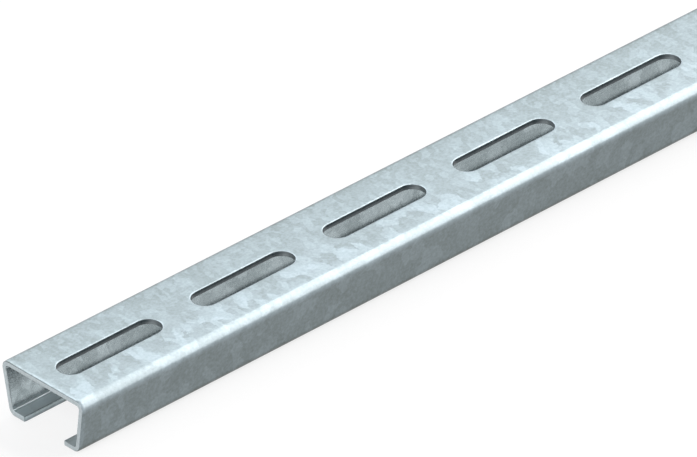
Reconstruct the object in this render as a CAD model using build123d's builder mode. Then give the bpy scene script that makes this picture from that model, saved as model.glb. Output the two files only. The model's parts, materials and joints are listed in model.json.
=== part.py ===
from build123d import *
import os
from math import atan2, cos, tan

os.makedirs("parts", exist_ok=True)

# Mounting rail of C section, rolled from steel sheet and perforated. All sizes in millimetres.
# +X runs along the rail from the nearer end, +Z points up through the perforated web,
# and the lips beside the mouth lie on Z = 0.
rail_length = 500.0
rail_width = 35.0
rail_height = 18.0
sheet = 1.75

# Both side walls lean in towards the mouth by this much over the height.
wall_lean = 3.0
mouth_width = 17.0

# Outer bend radii at the web and at the lips. The inner ones follow from the sheet.
web_bend = 2.7
lip_bend = 2.5
# The slit edges of the strip are slightly rounded by the zinc coat.
lip_edge_round = 0.35
end_edge_round = 0.2

# Slots run along the rail in one row. The first lies half a pitch from the end.
slot_pitch = 52.0
slot_length = 38.0
slot_width = 8.5
punch_round = 0.4
least_end_web = 5.0
first_slot = slot_pitch / 2
slot_count = int((rail_length - first_slot - slot_length / 2 - least_end_web) // slot_pitch) + 1
slot_row_centre = -rail_length / 2 + first_slot + slot_pitch * (slot_count - 1) / 2

# The rail is widest on its rounded upper bends, so the sharp corner lies a little beyond them.
wall_angle = atan2(wall_lean, rail_height)
corner_overhang = web_bend * (tan(wall_angle) + 1 / cos(wall_angle) - 1)
web_half = rail_width / 2 + corner_overhang
base_half = web_half - wall_lean
mouth_half = mouth_width / 2
wall_shift = sheet / cos(wall_angle)
lean_in_sheet = wall_lean * sheet / rail_height

inner_base_half = base_half + lean_in_sheet - wall_shift
inner_web_half = web_half - lean_in_sheet - wall_shift
inner_top = rail_height - sheet

with BuildPart() as rail:
    with BuildSketch(Plane.YZ.offset(-rail_length / 2)):
        with BuildLine():
            FilletPolyline(
                (mouth_half, 0),
                (base_half, 0),
                (web_half, rail_height),
                (-web_half, rail_height),
                (-base_half, 0),
                (-mouth_half, 0),
                (-mouth_half, sheet),
                (-inner_base_half, sheet),
                (-inner_web_half, inner_top),
                (inner_web_half, inner_top),
                (inner_base_half, sheet),
                (mouth_half, sheet),
                radius=[
                    lip_edge_round,
                    lip_bend,
                    web_bend,
                    web_bend,
                    lip_bend,
                    lip_edge_round,
                    lip_edge_round,
                    lip_bend - sheet,
                    web_bend - sheet,
                    web_bend - sheet,
                    lip_bend - sheet,
                    lip_edge_round,
                ],
                close=True,
            )
        make_face()
    extrude(amount=rail_length)

    # The row of slots is punched through the web from outside.
    with BuildSketch(Plane.XY.offset(rail_height)):
        with Locations((slot_row_centre, 0)):
            with GridLocations(slot_pitch, slot_pitch, slot_count, 1):
                SlotOverall(slot_length, slot_width)
    extrude(amount=-2 * sheet, mode=Mode.SUBTRACT)

    # The punch draws the outer rim of each slot in.
    web_face = rail.faces().sort_by(Axis.Z)[-1]
    slot_rims = [rim for wire in web_face.inner_wires() for rim in wire.edges()]
    fillet(slot_rims, punch_round)

    # Both cut ends have the sharpness taken off.
    end_faces = rail.faces().sort_by(Axis.X)
    chamfer(end_faces[0].edges(), end_edge_round)
    chamfer(end_faces[-1].edges(), end_edge_round)

rail.part.label = "rail"
export_step(rail.part, "parts/rail.step")
print("slots", slot_count, "row centre", slot_row_centre)
print("solids", len(rail.part.solids()), "volume", rail.part.volume)
print("box", rail.part.bounding_box())
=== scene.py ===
import json
import math
import bmesh
import bpy
import numpy as np
from mathutils import Matrix, Vector


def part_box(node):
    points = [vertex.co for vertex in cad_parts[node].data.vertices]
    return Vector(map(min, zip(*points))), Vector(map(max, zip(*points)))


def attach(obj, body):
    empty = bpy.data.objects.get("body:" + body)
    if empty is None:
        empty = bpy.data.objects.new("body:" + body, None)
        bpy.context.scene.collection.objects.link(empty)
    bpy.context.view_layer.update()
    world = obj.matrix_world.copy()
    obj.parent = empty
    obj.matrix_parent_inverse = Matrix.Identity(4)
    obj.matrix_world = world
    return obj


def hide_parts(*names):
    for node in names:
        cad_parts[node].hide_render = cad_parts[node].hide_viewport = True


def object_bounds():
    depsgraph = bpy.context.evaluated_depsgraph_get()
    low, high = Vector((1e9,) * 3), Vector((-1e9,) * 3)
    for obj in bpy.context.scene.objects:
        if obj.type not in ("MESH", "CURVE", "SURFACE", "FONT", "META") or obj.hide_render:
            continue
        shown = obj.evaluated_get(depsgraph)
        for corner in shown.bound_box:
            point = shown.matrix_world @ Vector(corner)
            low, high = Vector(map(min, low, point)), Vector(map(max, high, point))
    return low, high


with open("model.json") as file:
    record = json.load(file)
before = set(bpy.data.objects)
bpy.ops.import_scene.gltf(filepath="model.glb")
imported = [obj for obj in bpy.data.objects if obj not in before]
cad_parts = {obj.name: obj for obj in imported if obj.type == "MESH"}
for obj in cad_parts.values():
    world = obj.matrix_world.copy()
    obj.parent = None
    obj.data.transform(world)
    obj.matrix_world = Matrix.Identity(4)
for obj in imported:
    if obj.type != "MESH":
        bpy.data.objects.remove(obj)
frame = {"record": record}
cadLow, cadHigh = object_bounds()
print("frame loaded")

# Metres throughout. +X runs along the rail, +Z out through the slotted web, Z = 0 under the lips.

railShape = {
    "sheet": 0.00175,
    "wallLean": 0.003,  # each side wall leans in by this much over the height
    "mouth": 0.017,
    "webBend": 0.0027,  # outer radii of the bends
    "lipBend": 0.0025,
    "lipEdge": 0.00035,
    "endEdge": 0.0002,
    "endRoll": 0.0008,  # the outer face dips over this length towards both cut ends
    "endDip": 0.00008,
    "slotRim": 0.00010,
    "slotFlare": 0.00010,  # the slot opens out by this much in the top third of the sheet
    "rollWidth": 0.0006,  # the web dips towards a slot's rim where the punch drew it in
    "rollDepth": 0.00007,
    "slotBreak": 0.00012,  # the wall opens by this much where the punch tore through
    # Rings down a slot's wall: how far down the sheet, and shares of the flare and of the break
    "wallRings": (
        (0.2, 0.45, 0), (0.35, 0, 0), (0.55, 0, 0), (0.65, 0, 0.45), (0.8, 0, 0.8), (0.96, 0, 1),
        (1, 0, 1.3)),
    "ringShares": (0.04, 0.2, 0.45, 0.75, 0.975),  # rings between a slot's rim and its cell's border
    "support": 0.00025,  # strip of flat kept beside each bend
    "bendSteps": 12,
    "edgeSteps": 4,
    "flatSteps": 5,
    "straightSteps": 4,  # half of a slot's straight side
    "arcSteps": 7,  # an eighth of a slot's outline
    "dipSteps": 5,
    "endRollSteps": 4,
    "plainSteps": 5,  # along the plain web after the last slot
    "cutSteps": 4,  # across the sheet on a cut end
    "weld": 1e-7,
}


def tangentArc(before, corner, after, radius, steps):
    # Circle that touches both legs of a corner, walked from the first leg to the second. Its centre lies
    # on the bisector, the radius over the sine of half the corner's angle away from the corner.
    before, corner, after = (np.array(p, float) for p in (before, corner, after))
    u = (before - corner) / np.linalg.norm(before - corner)
    v = (after - corner) / np.linalg.norm(after - corner)
    half = math.acos(float(u @ v)) / 2
    centre = corner + (u + v) / np.linalg.norm(u + v) * radius / math.sin(half)
    first = corner + u * radius / math.tan(half) - centre
    last = corner + v * radius / math.tan(half) - centre
    start = math.atan2(first[1], first[0])
    turn = (math.atan2(last[1], last[0]) - start + math.pi) % (2 * math.pi) - math.pi
    angles = start + turn * np.linspace(0, 1, steps + 1)
    return centre + radius * np.stack([np.cos(angles), np.sin(angles)], 1)


def flatRun(start, end, shape):
    # Straight run between two arcs, its outer points a support strip away from them
    edge = shape["support"] / np.linalg.norm(end - start)
    shares = np.linspace(edge, 1 - edge, shape["flatSteps"])[:, None]
    return start + (end - start) * shares


def sideSurface(depth, inset, shape, width, height):
    # One side's line in (y, z) at a depth below the outer face: middle of the lip's edge, lip, bend, wall
    # and bend. Every flat moves in by the depth and each bend's radius shrinks by it, so that lines of
    # all depths run parallel.
    slope = math.atan2(shape["wallLean"], height)
    overhang = shape["webBend"] * (math.tan(slope) + 1 / math.cos(slope) - 1)
    webHalf = width / 2 + overhang
    rise = shape["wallLean"] * depth / height
    shift = depth / math.cos(slope)
    lipEnd = shape["mouth"] / 2 + inset
    middle = (lipEnd, shape["sheet"] / 2)
    lipCorner = (lipEnd, depth)
    baseCorner = (webHalf - shape["wallLean"] + rise - shift, depth)
    webCorner = (webHalf - rise - shift, height - depth)
    webMiddle = (0, height - depth)
    edge = tangentArc(middle, lipCorner, baseCorner, shape["lipEdge"] - inset, shape["edgeSteps"])
    lower = tangentArc(lipCorner, baseCorner, webCorner, shape["lipBend"] - depth, shape["bendSteps"])
    upper = tangentArc(baseCorner, webCorner, webMiddle, shape["webBend"] - depth, shape["bendSteps"])
    lip = flatRun(edge[-1], lower[0], shape)
    wall = flatRun(lower[-1], upper[0], shape)
    return np.vstack([[middle], edge, lip, lower, wall, upper])


def mirrored(line):
    # The same line with its first coordinate turned to the other side of 0
    return line * np.array([-1.0, 1.0])


def slotOutline(shape, halfLength, halfWidth, growth):
    # Round-ended slot as one closed line, straight sides and half circles, grown outwards by growth
    straight = halfLength - halfWidth
    angles = np.linspace(0, math.pi / 2, 2 * shape["arcSteps"] + 1)
    arc = (halfWidth + growth) * np.stack([np.cos(angles), np.sin(angles)], 1)
    along = np.linspace(straight, -straight, 2 * shape["straightSteps"] + 1)[1:-1]
    side = np.stack([along, np.full(len(along), halfWidth + growth)], 1)
    upper = np.vstack([arc + (straight, 0), side, mirrored(arc[::-1]) - (straight, 0)])
    return np.vstack([upper, (upper * (1, -1))[-2:0:-1]])


def crossSteps(shape, half):
    # Stations from the centre line to the bend, the last step being the support strip
    return np.append(np.linspace(0, half - shape["support"], shape["arcSteps"]), half)


def cellBorder(shape, halfLength, halfWidth, left, right, half):
    # The cell's border, walked with as many points as the slot's line so that the two pair up
    straight = halfLength - halfWidth
    across = crossSteps(shape, half)
    steps = shape["arcSteps"]
    along = np.linspace(straight, -straight, 2 * shape["straightSteps"] + 1)
    xs = np.concatenate([
        np.full(steps, right), np.linspace(right, straight, steps + 1), along[1:-1],
        np.linspace(-straight, left, steps + 1), np.full(steps, left)])
    ys = np.concatenate([
        across[:-1], np.full(steps + 1, half), np.full(len(along) - 2, half),
        np.full(steps + 1, half), across[-2::-1]])
    upper = np.stack([xs, ys], 1)
    return np.vstack([upper, (upper * (1, -1))[-2:0:-1]])


def atHeight(line, x, z):
    # Line in (x, y) moved along to x and lifted to z
    return np.column_stack([line[:, 0] + x, line[:, 1], np.full(len(line), z)])


def crossSection(line, x):
    # Line in (y, z) stood up at x
    return np.column_stack([np.full(len(line), x), line])


class Surface:
    # Grids of points collected into one welded mesh
    def __init__(self):
        self.points, self.faces, self.marks, self.count = [], [], [], 0

    def addGrid(self, grid, mark, closed=False):
        # One quad between each point and its neighbours, marked with its material's place in the list
        rows, columns = grid.shape[:2]
        index = np.arange(rows * columns).reshape(rows, columns) + self.count
        if closed:
            index = np.column_stack([index, index[:, 0]])
        quads = np.stack([index[:-1, :-1], index[:-1, 1:], index[1:, 1:], index[1:, :-1]], -1)
        self.points.append(grid.reshape(-1, 3))
        self.faces.append(quads.reshape(-1, 4))
        self.marks.append(np.broadcast_to(mark, (rows - 1, index.shape[1] - 1)).reshape(-1))
        self.count += rows * columns

    def makeObject(self, name, materials, weld):
        # Points that agree to within the weld become one, and all faces are turned outwards
        points = np.vstack(self.points)
        faces = np.vstack(self.faces)
        marks = np.concatenate(self.marks)
        first, inverse = np.unique(
            np.round(points / weld).astype(np.int64), axis=0, return_index=True, return_inverse=True)[1:]
        faces = inverse.reshape(-1)[faces]
        mesh = bpy.data.meshes.new(name)
        mesh.from_pydata(points[first].tolist(), [], faces.tolist())
        mesh.polygons.foreach_set("material_index", marks.astype(np.int32))
        mesh.polygons.foreach_set("use_smooth", np.ones(len(faces), bool))
        for material in materials:
            mesh.materials.append(material)
        build = bmesh.new()
        build.from_mesh(mesh)
        bmesh.ops.dissolve_degenerate(build, dist=weld, edges=build.edges)
        bmesh.ops.recalc_face_normals(build, faces=build.faces)
        openEdges = sum(1 for edge in build.edges if len(edge.link_faces) != 2)
        build.to_mesh(mesh)
        build.free()
        made = bpy.data.objects.new(name, mesh)
        bpy.context.scene.collection.objects.link(made)
        print(name, "faces", len(mesh.polygons), "open edges", openEdges)
        return made


def buildRail(shape, materials):
    # Whole rail as one closed mesh: cells around the slots, plain web, sides carried along, and both ends.
    # The slots come from the record, and the width, the height and the ends from the CAD box.
    low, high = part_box("rail")
    width, height = high.y - low.y, high.z
    slots = [m for m in frame["record"]["mounts"] if m["kind"] == "bolt_pattern"]
    sizes = slots[0]["dims"]
    pitch = sizes["spacing_x_mm"] / 1000
    halfWidth = sizes["hole_r_mm"] / 1000
    halfLength = sizes["slot_length_mm"] / 2000
    centres = sorted({round(m["pos_m"][0] + side * pitch / 2, 6) for m in slots for side in (-1, 1)})
    endEdge, sheet = shape["endEdge"], shape["sheet"]
    nearEnd, farEnd = low.x + endEdge + shape["endRoll"], high.x - endEdge - shape["endRoll"]
    onCoat, onSlotWall, onCutEnd, onInside = range(len(materials))
    surface = Surface()

    # Each slot's cell: rings from the border in to the rim, down the wall and out again below
    outer = sideSurface(0, 0, shape, width, height)
    inner = sideSurface(sheet, 0, shape, width, height)
    flatHalf = outer[-1, 0]
    rim, tear, flare = shape["slotRim"], shape["slotBreak"], shape["slotFlare"]
    top = flare + rim
    borders = []
    for centre in centres:
        left = max(centre - pitch / 2, nearEnd) - centre
        border = cellBorder(shape, halfLength, halfWidth, left, pitch / 2, flatHalf)
        borders.append(border[:, 0] + centre)
        line = slotOutline(shape, halfLength, halfWidth, top + shape["rollWidth"])
        rings = [atHeight(border, centre, height)]
        for share in reversed(shape["ringShares"]):
            rings.append(atHeight(line + (border - line) * share, centre, height))
        # Dip: its depth grows with the square of the way in from its edge
        for way in np.linspace(0, 1, shape["dipSteps"] + 1)[:-1]:
            line = slotOutline(shape, halfLength, halfWidth, top + shape["rollWidth"] * (1 - way))
            rings.append(atHeight(line, centre, height - shape["rollDepth"] * way ** 2))
        # Rim: a quarter circle from the dip's deepest line down into the slot
        arc = []
        for angle in np.linspace(0, math.pi / 2, shape["edgeSteps"]):
            line = slotOutline(shape, halfLength, halfWidth, top - rim * math.sin(angle))
            arc.append(atHeight(line, centre, height - shape["rollDepth"] - rim * (1 - math.cos(angle))))
        surface.addGrid(np.array(rings + arc[:2]), onCoat, closed=True)
        wall = arc[1:]
        for drop, flareShare, tearShare in shape["wallRings"]:
            line = slotOutline(shape, halfLength, halfWidth, flareShare * flare + tearShare * tear)
            wall.append(atHeight(line, centre, height - sheet * drop))
        surface.addGrid(np.array(wall), onSlotWall, closed=True)
        rings = [wall[-1]]
        for share in shape["ringShares"]:
            rings.append(atHeight(line + (border - line) * share, centre, height - sheet))
        rings.append(atHeight(border, centre, height - sheet))
        surface.addGrid(np.array(rings), onInside, closed=True)

    # Plain web after the last slot's cell
    plain = np.linspace(centres[-1] + pitch / 2, farEnd, shape["plainSteps"] + 1)
    half = crossSteps(shape, flatHalf)
    across = np.concatenate([-half[::-1], half[1:]])
    for z, mark in ((height, onCoat), (height - sheet, onInside)):
        xs, ys = np.meshgrid(plain, across, indexing="ij")
        surface.addGrid(np.stack([xs, ys, np.full(xs.shape, z)], -1), mark)

    # Bends, side walls and lips, carried along the rail on the cells' stations
    stations = np.unique(np.round(np.concatenate(borders + [plain]), 9))
    insideMarks = np.full(len(inner) - 1, onInside)
    insideMarks[:shape["edgeSteps"] + 1] = onCoat
    for line, mark in ((outer, onCoat), (inner, insideMarks)):
        for side in (line, mirrored(line)):
            surface.addGrid(np.array([crossSection(side, x) for x in stations]), mark)

    # Both ends: the outer face dips, the whole section is drawn in over the softened edge, and a strip
    # closes it. A step is a distance from the end and how far the outer and the inner line move in there.
    steps = []
    for way in np.linspace(0, 1, shape["endRollSteps"] + 1)[:-1]:
        steps.append((endEdge + shape["endRoll"] * (1 - way), shape["endDip"] * way ** 2, 0.0))
    for angle in np.linspace(math.pi / 2, 0, shape["edgeSteps"]):
        softened = endEdge * (1 - math.sin(angle))
        steps.append((endEdge * (1 - math.cos(angle)), shape["endDip"] + softened, softened))
    for endX, direction in ((low.x, 1), (high.x, -1)):
        loops = []
        for fromEnd, outerInset, innerInset in steps:
            pair = []
            for depth in (outerInset, sheet - innerInset):
                side = sideSurface(depth, outerInset, shape, width, height)
                web = np.column_stack([across[::-1][1:-1], np.full(len(across) - 2, height - depth)])
                line = np.vstack([side, web, mirrored(side)[::-1]])
                pair.append(crossSection(line, endX + direction * fromEnd))
            loops.append(pair)
        webMarks = np.full(len(loops[0][1]) - 2 * len(insideMarks) - 1, onInside)
        roundMarks = np.concatenate([insideMarks, webMarks, insideMarks[::-1]])
        for part, mark in ((0, onCoat), (1, roundMarks)):
            surface.addGrid(np.array([pair[part] for pair in loops]), mark)
        shares = np.linspace(0, 1, shape["cutSteps"] + 1)[:, None, None]
        outerLine, innerLine = loops[-1]
        surface.addGrid(outerLine + (innerLine - outerLine) * shares, onCutEnd)

    rail = surface.makeObject("mountingRail", materials, shape["weld"])
    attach(rail, "root")
    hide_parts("rail")


# Materials

# Noises are given as scale, detail and roughness.
spangleShape = {
    "swirl": (230.0, 4.0, 0.65),  # feathers the outlines of patches and flecks
    "squeeze": (1.0, 0.55, 0.7),  # below 1, patches are longer that way
    "patchSoftness": 0.18,
    "fleckSoftness": 0.22,
    "flecksToPatch": 2.3,
}
grainShape = {
    "mottle": (120.0, 4.0, 0.6),
    "grain": (1000.0, 3.0, 0.6),
    "lines": (1.0, 3.0, 0.65),
}
# Bands over which one tone gives way to another. Those across the rail are shares of its width from the
# far side to the near one, and the rest are in metres.
zincBands = {
    "farEdge": (0.02, 0.25),  # across the web, from its far edge's tone to its far side's
    "nearSide": (0.4, 0.9),  # and on to its near side's
    "nearPatches": (0.55, 0.8),
    "besideBend": (0.82, 0.93),
    "farToNearBend": (0.3, 0.7),
    "farToNearLip": (0.4, 0.6),
    "web": (-0.00055, -0.00001),  # heights from the web's face
    "bend": (-0.0038, -0.0022),
    "dip": (-0.00005, -0.00001),
    "lipTop": (-0.0014, 0.0),  # heights from the look's own lipTop
    "upWall": (0.006, 0.011),  # heights from the lips' face
    "slit": (0.0003, 0.0006),  # outwards from the lips' edges
    "sides": (-0.0035, -0.003),  # inwards from the rail's sides
    "ends": (-0.0015, -0.0010),  # inwards from both cut ends
    "cutEdge": (-0.0006, -0.0002),
}
zincLook = {
    "darkZinc": (0.190, 0.228, 0.236),
    "paleZinc": (0.335, 0.400, 0.435),
    "metallic": 0.75,
    "roughness": 0.34,
    "roughInGrain": 0.12,
    "roughOnPatches": -0.06,
    "patchSize": 0.0041,
    "patchFeather": 0.0042,
    # The web's tones across the rail are painted light: painted shade towards the far edge and paler
    # towards the near side
    "paintedLightFarEdge": 0.22,  # 0 is the dark zinc and 1 the pale one, across the web from its far bend
    "paintedLightFarSide": 0.42,
    "paintedLightNearSide": 0.71,
    # Painted highlight on the near bend and painted shade on the far bend
    "paintedLightOnNearBend": 0.70,
    "paintedLightOnFarBend": -0.22,
    # Painted shade: the side walls darker than the web, and painted light added towards their tops
    "paintedShadeOnWalls": 0.13,
    "paintedLightUpWalls": 0.0,  # added towards the top of the side walls
    # Painted shade on the lips and their bends, with its own value for the near lip
    "paintedLightOnLips": -0.50,
    "paintedLightOnNearLip": -0.50,
    "lipTop": 0.0026,  # height where the lips' tone has given way to that of the walls
    "textureOnLips": 1.0,  # share of the grain and relief that is left on the lips
    "roughnessOnLips": 0.34,
    "toneOnSlit": 0.25,  # edges of the strip beside the mouth
    "paintedHighlightAtRims": 0.45,  # painted highlight added in the dips at the slots and cut ends
    # Painted highlight along the cut ends, with a painted dark line on the web's very edge
    "paintedHighlightAtEnds": 0.20,  # added along the cut ends
    "cutEdgeDrop": -3.5,  # times that is added on the web's very edge there
    "leastTone": -1.0,
    "patchFarSide": 0.12,  # how strongly the large patches show
    "patchNearSide": 0.62,
    "patchAtBend": 0.35,  # share of that left beside the near bend
    "patchOnWalls": 0.20,
    "patchContrast": (0.35, 0.9),  # cell values pulled apart to 0 and 1
    "fleckOnWeb": 0.26,
    "fleckContrast": (0.3, 0.9),
    "mottling": 0.35,
    "speckle": 1.1,
    "tilt": 0.010,  # how far a patch's own slope turns the surface
    "lineStretch": (25.0, 1500.0, 1500.0),
    "lineRelief": 0.5,  # height of the lines, that of the grain being 1
    "reliefMiddle": 0.75,
    "bump": (0.35, 0.00004),  # strength and distance
}
# Copy of the coat for the inside with its own tones: paler zinc and painted light on the upper walls and
# the far lip, painted shade on the near lip and a darker web
insideLook = dict(
    zincLook,
    darkZinc=(0.190, 0.225, 0.235),
    paleZinc=(0.420, 0.480, 0.500),
    roughness=0.26,
    paintedLightFarEdge=0.15,
    paintedLightFarSide=0.15,
    paintedLightNearSide=0.15,
    paintedLightOnNearBend=0.05,
    paintedLightOnFarBend=0.05,
    paintedShadeOnWalls=0.16,
    paintedLightUpWalls=0.55,
    paintedLightOnLips=1.55,
    paintedLightOnNearLip=0.35,
    lipTop=0.0032,
    textureOnLips=0.3,
    roughnessOnLips=0.35,
    paintedHighlightAtRims=0.0,
    paintedHighlightAtEnds=0.0,
    patchFarSide=0.3,
    patchNearSide=0.3,
    patchOnWalls=0.22,
    mottling=0.85,
    speckle=0.8,
    tilt=0.0,
)
slotWallLook = {
    # Painted shade for the slots' walls, with painted light where they face the near end
    "shadedWall": (0.036, 0.052, 0.060),
    "litWall": (0.15, 0.175, 0.185),
    "facing": (0.25, 0.95),  # how squarely a wall faces the near end, from dark to pale
    "metallic": 0.45,
    "roughness": 0.5,
    "roughInLines": 0.08,
    "mottling": 2.2,
    "toneInLines": 0.3,
    "leastTone": -0.12,
    "lineStretch": (1400.0, 1400.0, 160.0),
    "bump": (0.5, 0.00006),
}
cutEndLook = {
    "darkCut": (0.43, 0.485, 0.51),
    "paleCut": (0.61, 0.685, 0.71),
    "metallic": 0.5,
    "roughness": 0.42,
    "roughInLines": 0.2,
    "middleTone": 0.5,
    "toneInLines": 0.9,
    "toneInGrain": 1.4,
    "lineStretch": (900.0, 2600.0, 240.0),
    "bump": (0.4, 0.00004),
}


def addNode(tree, kind, links=None, **values):
    # Node with its properties set by name. Links give each socket a source socket or a plain value.
    node = tree.nodes.new(kind)
    for key, value in values.items():
        setattr(node, key, value)
    for socket, source in (links or {}).items():
        target = node.inputs[socket]
        if isinstance(source, bpy.types.NodeSocket):
            tree.links.new(source, target)
        else:
            target.default_value = source
    return node


def combine(tree, operation, *values):
    # One step of arithmetic on numbers
    return addNode(tree, "ShaderNodeMath", dict(enumerate(values)), operation=operation).outputs[0]


def combineVectors(tree, operation, *values):
    # One step of arithmetic on vectors
    return addNode(tree, "ShaderNodeVectorMath", dict(enumerate(values)), operation=operation).outputs[0]


def centred(tree, value):
    # A value between 0 and 1 moved to lie around 0
    return combine(tree, "SUBTRACT", value, 0.5)


def blend(tree, share, first, second):
    # First value at a share of 0, second at 1
    return addNode(tree, "ShaderNodeMix", {"Factor": share, "A": first, "B": second}).outputs[0]


def blendColours(tree, share, first, second):
    # The same for colours. A share below 0 or above 1 carries on past the two colours.
    return addNode(tree, "ShaderNodeMix", {"Factor": share, 6: (*first, 1), 7: (*second, 1)},
                   data_type="RGBA", clamp_factor=False).outputs[2]


def ramp(tree, value, band, ends=(0.0, 1.0), base=0.0):
    # Goes straight from the first end to the second while the value crosses the band, counted from base
    return addNode(tree, "ShaderNodeMapRange", {
        "Value": value, "From Min": base + band[0], "From Max": base + band[1],
        "To Min": ends[0], "To Max": ends[1]}).outputs[0]


def crisp(tree, value, band):
    # Pulls a soft value towards 0 and 1, smoothly over the band
    return addNode(tree, "ShaderNodeMapRange", {"Value": value, "From Min": band[0], "From Max": band[1]},
                   interpolation_type="SMOOTHSTEP").outputs[0]


def noise(tree, place, size):
    # Fractal noise of a given scale, detail and roughness
    return addNode(tree, "ShaderNodeTexNoise", {
        "Vector": place, "Scale": size[0], "Detail": size[1], "Roughness": size[2]}).outputs


def softCells(tree, place, density, softness):
    # One random colour to each cell, so many cells to the metre, with blurred borders
    return addNode(tree, "ShaderNodeTexVoronoi", {
        "Vector": place, "Scale": density, "Smoothness": softness}, feature="SMOOTH_F1").outputs["Color"]


def makeGroup(name, inputs, outputs):
    # Node group with its sockets, given back as the tree, what goes in and what comes out
    tree = bpy.data.node_groups.new(name, "ShaderNodeTree")
    for direction, sockets in (("INPUT", inputs), ("OUTPUT", outputs)):
        for label, kind in sockets:
            tree.interface.new_socket(name=label, in_out=direction, socket_type="NodeSocket" + kind)
    return tree, tree.nodes.new("NodeGroupInput").outputs, tree.nodes.new("NodeGroupOutput").inputs


def placeGroup(tree, group, links):
    # The group put into a material with that material's own values
    return addNode(tree, "ShaderNodeGroup", links, node_tree=group).outputs


def spangleGroup(shape):
    # Crystal patches of a zinc coat: soft cells in two sizes, their outlines feathered by noise
    tree, given, wanted = makeGroup(
        "zincSpangle", (("Vector", "Vector"), ("Size", "Float"), ("Feather", "Float")),
        (("Patch", "Float"), ("Fleck", "Float"), ("Tilt", "Vector")))
    swirl = noise(tree, given["Vector"], shape["swirl"])
    offset = combineVectors(tree, "SUBTRACT", swirl["Color"], (0.5, 0.5, 0.5))
    pushed = combineVectors(tree, "MULTIPLY_ADD", offset, given["Feather"], given["Vector"])
    drawn = combineVectors(tree, "MULTIPLY", pushed, shape["squeeze"])
    density = combine(tree, "DIVIDE", 1.0, given["Size"])
    finer = combine(tree, "MULTIPLY", density, shape["flecksToPatch"])
    cells = softCells(tree, drawn, density, shape["patchSoftness"])
    flecks = softCells(tree, drawn, finer, shape["fleckSoftness"])
    patch = addNode(tree, "ShaderNodeSeparateColor", {"Color": cells})
    fleck = addNode(tree, "ShaderNodeSeparateColor", {"Color": flecks})
    tilt = combineVectors(tree, "SUBTRACT", cells, (0.5, 0.5, 0.5))
    tree.links.new(patch.outputs["Red"], wanted["Patch"])
    tree.links.new(fleck.outputs["Green"], wanted["Fleck"])
    tree.links.new(tilt, wanted["Tilt"])
    return tree


def grainGroup(shape):
    # Cloudy mottling, fine grain, and lines drawn out along one direction
    tree, given, wanted = makeGroup(
        "metalGrain", (("Vector", "Vector"), ("Line Stretch", "Vector")),
        (("Mottle", "Float"), ("Grain", "Float"), ("Lines", "Float")))
    drawn = combineVectors(tree, "MULTIPLY", given["Vector"], given["Line Stretch"])
    for label, place, size in (("Mottle", given["Vector"], shape["mottle"]),
                               ("Grain", given["Vector"], shape["grain"]),
                               ("Lines", drawn, shape["lines"])):
        tree.links.new(noise(tree, place, size)[0], wanted[label])
    return tree


def startMaterial(name, metallic):
    # Material of a given metallic share, given back with its tree and the Principled shader's inputs
    material = bpy.data.materials.new(name)
    material.use_nodes = True
    tree = material.node_tree
    wanted = tree.nodes["Principled BSDF"].inputs
    wanted["Metallic"].default_value = metallic
    return material, tree, wanted


def bumped(tree, height, bump):
    # Normal of a relief, with the bump given as strength and distance
    return addNode(tree, "ShaderNodeBump", {
        "Height": height, "Strength": bump[0], "Distance": bump[1]}).outputs[0]


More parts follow.
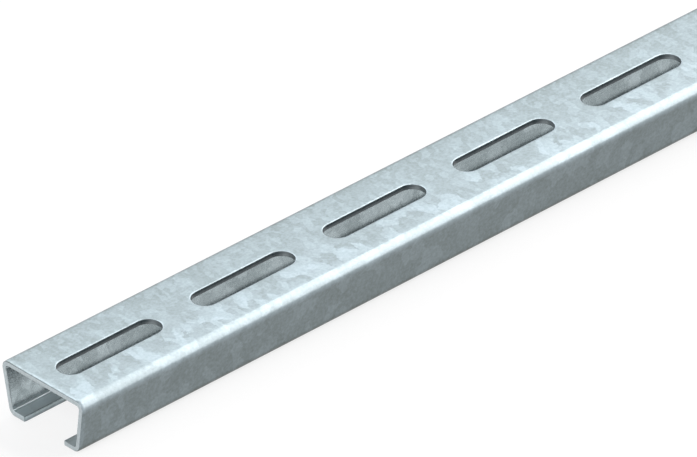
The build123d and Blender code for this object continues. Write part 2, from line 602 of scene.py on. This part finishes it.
def makeZincCoat(name, look, bands, shape):
    # Zinc between its dark and its pale colour. The tone is the sum of a ground of painted light and shade
    # that depends on the place in the section, patches, flecks, clouds and specks.
    material, tree, wanted = startMaterial(name, look["metallic"])
    place = addNode(tree, "ShaderNodeTexCoord").outputs["Object"]
    spangle = placeGroup(tree, zincSpangle, {
        "Vector": place, "Size": look["patchSize"], "Feather": look["patchFeather"]})
    grain = placeGroup(tree, metalGrain, {"Vector": place, "Line Stretch": look["lineStretch"]})
    spot = addNode(tree, "ShaderNodeSeparateXYZ", {0: place}).outputs
    nearness = ramp(tree, spot["Y"], (cadHigh.y, cadLow.y))
    fromMiddle = combine(tree, "ABSOLUTE", spot["Y"])
    fromCentre = combine(tree, "ABSOLUTE", spot["X"])

    # Ground on the web, its bends, the walls, the lips and the strip's edges. It is painted light and
    # shade: the web paler towards its near side, a painted highlight on the near bend, painted shade on the
    # far bend, and walls and lips darker or paler as light reaches them
    onWeb = ramp(tree, spot["Z"], bands["web"], base=cadHigh.z)
    onBend = ramp(tree, spot["Z"], bands["bend"], base=cadHigh.z)
    aboveLips = ramp(tree, spot["Z"], bands["lipTop"], base=look["lipTop"])
    onSlit = ramp(tree, fromMiddle, bands["slit"], (1.0, 0.0), base=shape["mouth"] / 2)
    # Painted light across the web: painted shade at the far edge, paler towards the near side
    farPaintedLight = ramp(tree, nearness, bands["farEdge"], (look["paintedLightFarEdge"], look["paintedLightFarSide"]))
    webPaintedLight = blend(tree, ramp(tree, nearness, bands["nearSide"]), farPaintedLight, look["paintedLightNearSide"])
    # Painted highlight on the near bend, painted shade on the far bend
    bendPaintedLight = ramp(tree, nearness, bands["farToNearBend"], (look["paintedLightOnFarBend"], look["paintedLightOnNearBend"]))
    # Painted light and shade on the lips, set apart for the far and the near lip
    nearLip = ramp(tree, nearness, bands["farToNearLip"])
    lipPaintedLight = blend(tree, nearLip, look["paintedLightOnLips"], look["paintedLightOnNearLip"])
    lipPaintedLight = blend(tree, onSlit, lipPaintedLight, look["toneOnSlit"])
    # Painted light towards the tops of the walls, over the walls' painted shade
    upWall = ramp(tree, spot["Z"], bands["upWall"], (0.0, look["paintedLightUpWalls"]))
    wallPaintedLight = blend(tree, aboveLips, lipPaintedLight, combine(tree, "ADD", upWall, look["paintedShadeOnWalls"]))
    ground = blend(tree, onWeb, blend(tree, onBend, wallPaintedLight, bendPaintedLight), webPaintedLight)

    # Painted highlight towards the cut ends and in the dips, and a painted dark line on the web's very edge
    cutEdgeShadeTone = look["cutEdgeDrop"] * look["paintedHighlightAtEnds"]
    endPaintedHighlight = ramp(tree, fromCentre, bands["ends"], (0.0, look["paintedHighlightAtEnds"]), base=cadHigh.x)
    cutEdgePaintedShade = ramp(tree, fromCentre, bands["cutEdge"], (0.0, cutEdgeShadeTone), base=cadHigh.x)
    ground = combine(tree, "ADD", ground, combine(tree, "MULTIPLY_ADD", cutEdgePaintedShade, onWeb, endPaintedHighlight))
    dipPaintedHighlight = ramp(tree, spot["Z"], bands["dip"], (look["paintedHighlightAtRims"], 0.0), base=cadHigh.z)
    offBends = ramp(tree, fromMiddle, bands["sides"], (1.0, 0.0), base=cadHigh.y)
    rimPaintedHighlight = combine(tree, "MULTIPLY", combine(tree, "MULTIPLY", dipPaintedHighlight, offBends), onWeb)
    ground = combine(tree, "ADD", ground, rimPaintedHighlight)

    # Large patches show most along the web's near half, small flecks all over it, and only faint patches
    # on the walls
    webPatch = ramp(tree, nearness, bands["nearPatches"], (look["patchFarSide"], look["patchNearSide"]))
    besideBend = ramp(tree, nearness, bands["besideBend"], (1.0, look["patchAtBend"]))
    webPatch = combine(tree, "MULTIPLY", webPatch, besideBend)
    patchShare = blend(tree, onWeb, look["patchOnWalls"], webPatch)
    fleckShare = combine(tree, "MULTIPLY", onWeb, look["fleckOnWeb"])
    patch = centred(tree, crisp(tree, spangle["Patch"], look["patchContrast"]))
    fleck = centred(tree, crisp(tree, spangle["Fleck"], look["fleckContrast"]))
    patch = combine(tree, "MULTIPLY", patch, patchShare)
    fleck = combine(tree, "MULTIPLY", fleck, fleckShare)
    swing = combine(tree, "ADD", patch, fleck)
    texture = blend(tree, aboveLips, look["textureOnLips"], 1.0)
    clouds = combine(tree, "MULTIPLY", centred(tree, grain["Mottle"]), look["mottling"])
    speck = combine(tree, "MULTIPLY", centred(tree, grain["Grain"]), look["speckle"])
    speck = combine(tree, "MULTIPLY", speck, texture)
    tone = combine(tree, "ADD", combine(tree, "ADD", ground, swing), combine(tree, "ADD", clouds, speck))
    tone = combine(tree, "MAXIMUM", tone, look["leastTone"])
    tree.links.new(blendColours(tree, tone, look["darkZinc"], look["paleZinc"]), wanted["Base Color"])

    # Roughness rises a little with the grain and falls on the paler patches
    smooth = blend(tree, aboveLips, look["roughnessOnLips"], look["roughness"])
    rough = combine(tree, "MULTIPLY_ADD", centred(tree, grain["Grain"]), look["roughInGrain"], smooth)
    rough = combine(tree, "MULTIPLY_ADD", swing, look["roughOnPatches"], rough)
    tree.links.new(rough, wanted["Roughness"])

    # Relief of grain and lines, each patch turned a little by its own slope
    relief = combine(tree, "MULTIPLY_ADD", grain["Lines"], look["lineRelief"], grain["Grain"])
    relief = combine(tree, "SUBTRACT", relief, look["reliefMiddle"])
    relief = combine(tree, "MULTIPLY", relief, texture)
    lean = combine(tree, "MULTIPLY", onWeb, look["tilt"])
    turn = addNode(tree, "ShaderNodeVectorMath", {0: spangle["Tilt"], "Scale": lean}, operation="SCALE")
    turned = combineVectors(tree, "ADD", bumped(tree, relief, look["bump"]), turn.outputs[0])
    tree.links.new(combineVectors(tree, "NORMALIZE", turned), wanted["Normal"])
    return material


def makeSlotWall(look):
    # Punched wall with lines down it, in painted shade, and paler as painted light where it faces the near
    # end
    material, tree, wanted = startMaterial("slotWall", look["metallic"])
    own = addNode(tree, "ShaderNodeTexCoord").outputs
    grain = placeGroup(tree, metalGrain, {"Vector": own["Object"], "Line Stretch": look["lineStretch"]})
    facing = addNode(tree, "ShaderNodeSeparateXYZ", {0: own["Normal"]})
    turned = crisp(tree, combine(tree, "MULTIPLY", facing.outputs["X"], -1.0), look["facing"])
    clouds = combine(tree, "MULTIPLY", centred(tree, grain["Lines"]), look["mottling"])
    clouds = combine(tree, "MULTIPLY_ADD", centred(tree, grain["Grain"]), look["mottling"], clouds)
    tone = combine(tree, "ADD", turned, combine(tree, "MULTIPLY", clouds, look["toneInLines"]))
    tone = combine(tree, "MAXIMUM", tone, look["leastTone"])
    tree.links.new(blendColours(tree, tone, look["shadedWall"], look["litWall"]), wanted["Base Color"])
    rough = combine(tree, "MULTIPLY_ADD", clouds, look["roughInLines"], look["roughness"])
    tree.links.new(rough, wanted["Roughness"])
    tree.links.new(bumped(tree, grain["Lines"], look["bump"]), wanted["Normal"])
    return material


def makeCutEnd(look):
    # Sawn end of the sheet: pale, with fine saw lines across its thickness
    material, tree, wanted = startMaterial("cutEnd", look["metallic"])
    place = addNode(tree, "ShaderNodeTexCoord").outputs["Object"]
    grain = placeGroup(tree, metalGrain, {"Vector": place, "Line Stretch": look["lineStretch"]})
    lines = centred(tree, grain["Lines"])
    tone = combine(tree, "MULTIPLY_ADD", lines, look["toneInLines"], look["middleTone"])
    tone = combine(tree, "MULTIPLY_ADD", centred(tree, grain["Grain"]), look["toneInGrain"], tone)
    tree.links.new(blendColours(tree, tone, look["darkCut"], look["paleCut"]), wanted["Base Color"])
    rough = combine(tree, "MULTIPLY_ADD", lines, look["roughInLines"], look["roughness"])
    tree.links.new(rough, wanted["Roughness"])
    tree.links.new(bumped(tree, grain["Lines"], look["bump"]), wanted["Normal"])
    return material


zincSpangle = spangleGroup(spangleShape)
metalGrain = grainGroup(grainShape)
zincCoat = makeZincCoat("zincCoat", zincLook, zincBands, railShape)
zincInside = makeZincCoat("zincInside", insideLook, zincBands, railShape)
slotWall = makeSlotWall(slotWallLook)
cutEnd = makeCutEnd(cutEndLook)
buildRail(railShape, [zincCoat, slotWall, cutEnd, zincInside])
print("rail built")


# Camera at the photograph's place, worked out from the rail's corner points

cameraLook = {
    "azimuth": -41.70,  # degrees
    "elevation": 31.97,
    "roll": 1.85,
    "focalPixels": 12078,
    "imageWidth": 697,
    "imageHeight": 457,
    "nearEndPixel": (44.41, 433.93),  # where the near end's bottom centre falls
    "distance": 3.471,  # from the camera to that point, along the view
    "sensorWidth": 36,  # millimetres
    "clip": (0.1, 60),
}


def placeCamera(look):
    # The view's axes follow from azimuth and elevation and are then rolled. The camera stands where the
    # near end's bottom centre, at its distance, falls on its pixel.
    azimuth, elevation, roll = (math.radians(look[k]) for k in ("azimuth", "elevation", "roll"))
    back = Vector((math.sin(azimuth) * math.cos(elevation), -math.cos(azimuth) * math.cos(elevation),
                   math.sin(elevation)))
    right = (-back).cross(Vector((0, 0, 1))).normalized()
    up = right.cross(-back)
    turn = (Matrix.Rotation(roll, 3, "Z") @ Matrix((right, up, back))).transposed()
    focal, distance = look["focalPixels"], look["distance"]
    u, v = look["nearEndPixel"]
    offset = Vector(((u - look["imageWidth"] / 2) / focal * distance,
                     -(v - look["imageHeight"] / 2) / focal * distance, -distance))
    nearEnd = Vector((cadLow.x, 0, 0))
    camera = bpy.data.cameras.new("camera")
    camera.sensor_fit = "HORIZONTAL"
    camera.sensor_width = look["sensorWidth"]
    camera.lens = focal / look["imageWidth"] * camera.sensor_width
    camera.clip_start, camera.clip_end = look["clip"]
    made = bpy.data.objects.new("camera", camera)
    made.matrix_world = Matrix.Translation(nearEnd - turn @ offset) @ turn.to_4x4()
    bpy.context.scene.collection.objects.link(made)
    bpy.context.scene.camera = made


placeCamera(cameraLook)
print("camera placed")


# Studio

studioLook = {
    "floorSize": 16.0,
    "floorColour": (0.22, 0.222, 0.225),
    "floorRoughness": 0.9,
    "floorGlow": 0.76,
    "worldColour": (0.97, 0.99, 1.0),
    "worldLight": 0.18,
    "worldShown": 1.0,
    "lamps": (
        # name, share along the rail, turn from straight up towards the far side, distance, size,
        # radiance, colour
        ("webBox", 0.564, 50, 1.8, (1.0, 0.8), 0.8, (0.92, 0.98, 1.02)),
        ("bendBoxUpper", 0.564, 21, 1.6, (0.9, 0.6), 4.2, (1.03, 1.0, 0.98)),
        ("bendBoxMiddle", 0.564, -16, 1.6, (0.9, 0.6), 5.0, (1.06, 1.0, 0.97)),
        ("bendBoxLower", 0.564, -53, 1.6, (0.9, 0.6), 4.0, (1.06, 1.0, 0.97)),
        ("lowBox", 0.564, -80, 1.6, (0.4, 0.6), 3.4, (1.04, 1.0, 0.98)),
        ("endBox", -0.78, -14, 1.6, (0.9, 0.9), 3.4, (1.0, 1.0, 1.0)),
        ("edgeBox", 0.18, 42, 1.7, (0.5, 0.5), 4.2, (1.0, 1.0, 1.0)),
        ("channelBox", -0.93, -25, 1.6, (0.5, 0.5), 4.0, (1.0, 1.0, 1.0)),
        ("farBox", 0.1, 70, 1.8, (1.0, 1.0), 1.6, (1.0, 1.0, 1.0)),
    ),
    "channelGlow": 1.29,  # light table strip under the rail's mouth
    "channelMargin": 0.003,  # the strip is so much narrower than the mouth
    "channelHeight": 0.0003,
}


def seenByCameraOrGloss(tree):
    # 1 for camera, glossy and transmission rays, and 0 for the light that falls on things
    path = addNode(tree, "ShaderNodeLightPath").outputs
    either = combine(tree, "MAXIMUM", path["Is Camera Ray"], path["Is Glossy Ray"])
    return combine(tree, "MAXIMUM", either, path["Is Transmission Ray"])


def addLamp(name, along, turn, distance, size, radiance, colour):
    # Area lamp aimed at the rail's middle. Its power is radiance times pi times area, and its long side
    # follows the turn about the rail's axis, as the reflections in the bend do.
    lamp = bpy.data.lights.new(name, "AREA")
    lamp.shape, lamp.size, lamp.size_y = "RECTANGLE", size[0], size[1]
    lamp.energy = radiance * math.pi * size[0] * size[1]
    lamp.color = colour
    angle = math.radians(turn)
    across = math.sqrt(1 - along * along)
    back = Vector((along, across * math.sin(angle), across * math.cos(angle)))
    side = Vector((0, math.cos(angle), -math.sin(angle)))
    made = bpy.data.objects.new(name, lamp)
    turned = Matrix((side, back.cross(side), back)).transposed()
    made.matrix_world = Matrix.Translation(back * distance) @ turned.to_4x4()
    made.visible_camera = False
    bpy.context.scene.collection.objects.link(made)
    return made


def buildStudio(look):
    # Glowing paper floor that is clear from below, plain surroundings, and the lamps
    size = look["floorSize"] / 2
    corners = [(-size, -size, 0), (size, -size, 0), (size, size, 0), (-size, size, 0)]
    mesh = bpy.data.meshes.new("floor")
    mesh.from_pydata(corners, [], [(0, 1, 2, 3)])
    floor = bpy.data.objects.new("floor", mesh)
    bpy.context.scene.collection.objects.link(floor)
    paper = bpy.data.materials.new("floorPaper")
    paper.use_nodes = True
    tree = paper.node_tree
    shader = tree.nodes["Principled BSDF"]
    shader.inputs["Base Color"].default_value = (*look["floorColour"], 1)
    shader.inputs["Roughness"].default_value = look["floorRoughness"]
    shader.inputs["Emission Color"].default_value = (1, 1, 1, 1)
    glow = combine(tree, "MULTIPLY", seenByCameraOrGloss(tree), look["floorGlow"])
    tree.links.new(glow, shader.inputs["Emission Strength"])
    below = addNode(tree, "ShaderNodeNewGeometry")
    clear = addNode(tree, "ShaderNodeBsdfTransparent")
    mix = addNode(tree, "ShaderNodeMixShader",
                  {0: below.outputs["Backfacing"], 1: shader.outputs[0], 2: clear.outputs[0]})
    tree.links.new(mix.outputs[0], tree.nodes["Material Output"].inputs["Surface"])
    mesh.materials.append(paper)

    world = bpy.data.worlds.new("studio")
    bpy.context.scene.world = world
    world.use_nodes = True
    tree = world.node_tree
    background = tree.nodes["Background"]
    background.inputs["Color"].default_value = (*look["worldColour"], 1)
    strength = ramp(tree, seenByCameraOrGloss(tree), (0.0, 1.0), (look["worldLight"], look["worldShown"]))
    tree.links.new(strength, background.inputs["Strength"])
    for lamp in look["lamps"]:
        addLamp(*lamp)
    # Under the mouth, facing up: its long side runs along the rail
    stripSize = (railShape["mouth"] - look["channelMargin"], cadHigh.x - cadLow.x)
    strip = addLamp("channelLamp", 0, 180, 0, stripSize, look["channelGlow"], (1, 1, 1))
    strip.location.z = look["channelHeight"]


buildStudio(studioLook)
bpy.context.scene.view_settings.view_transform = "Standard"
print("studio ready")
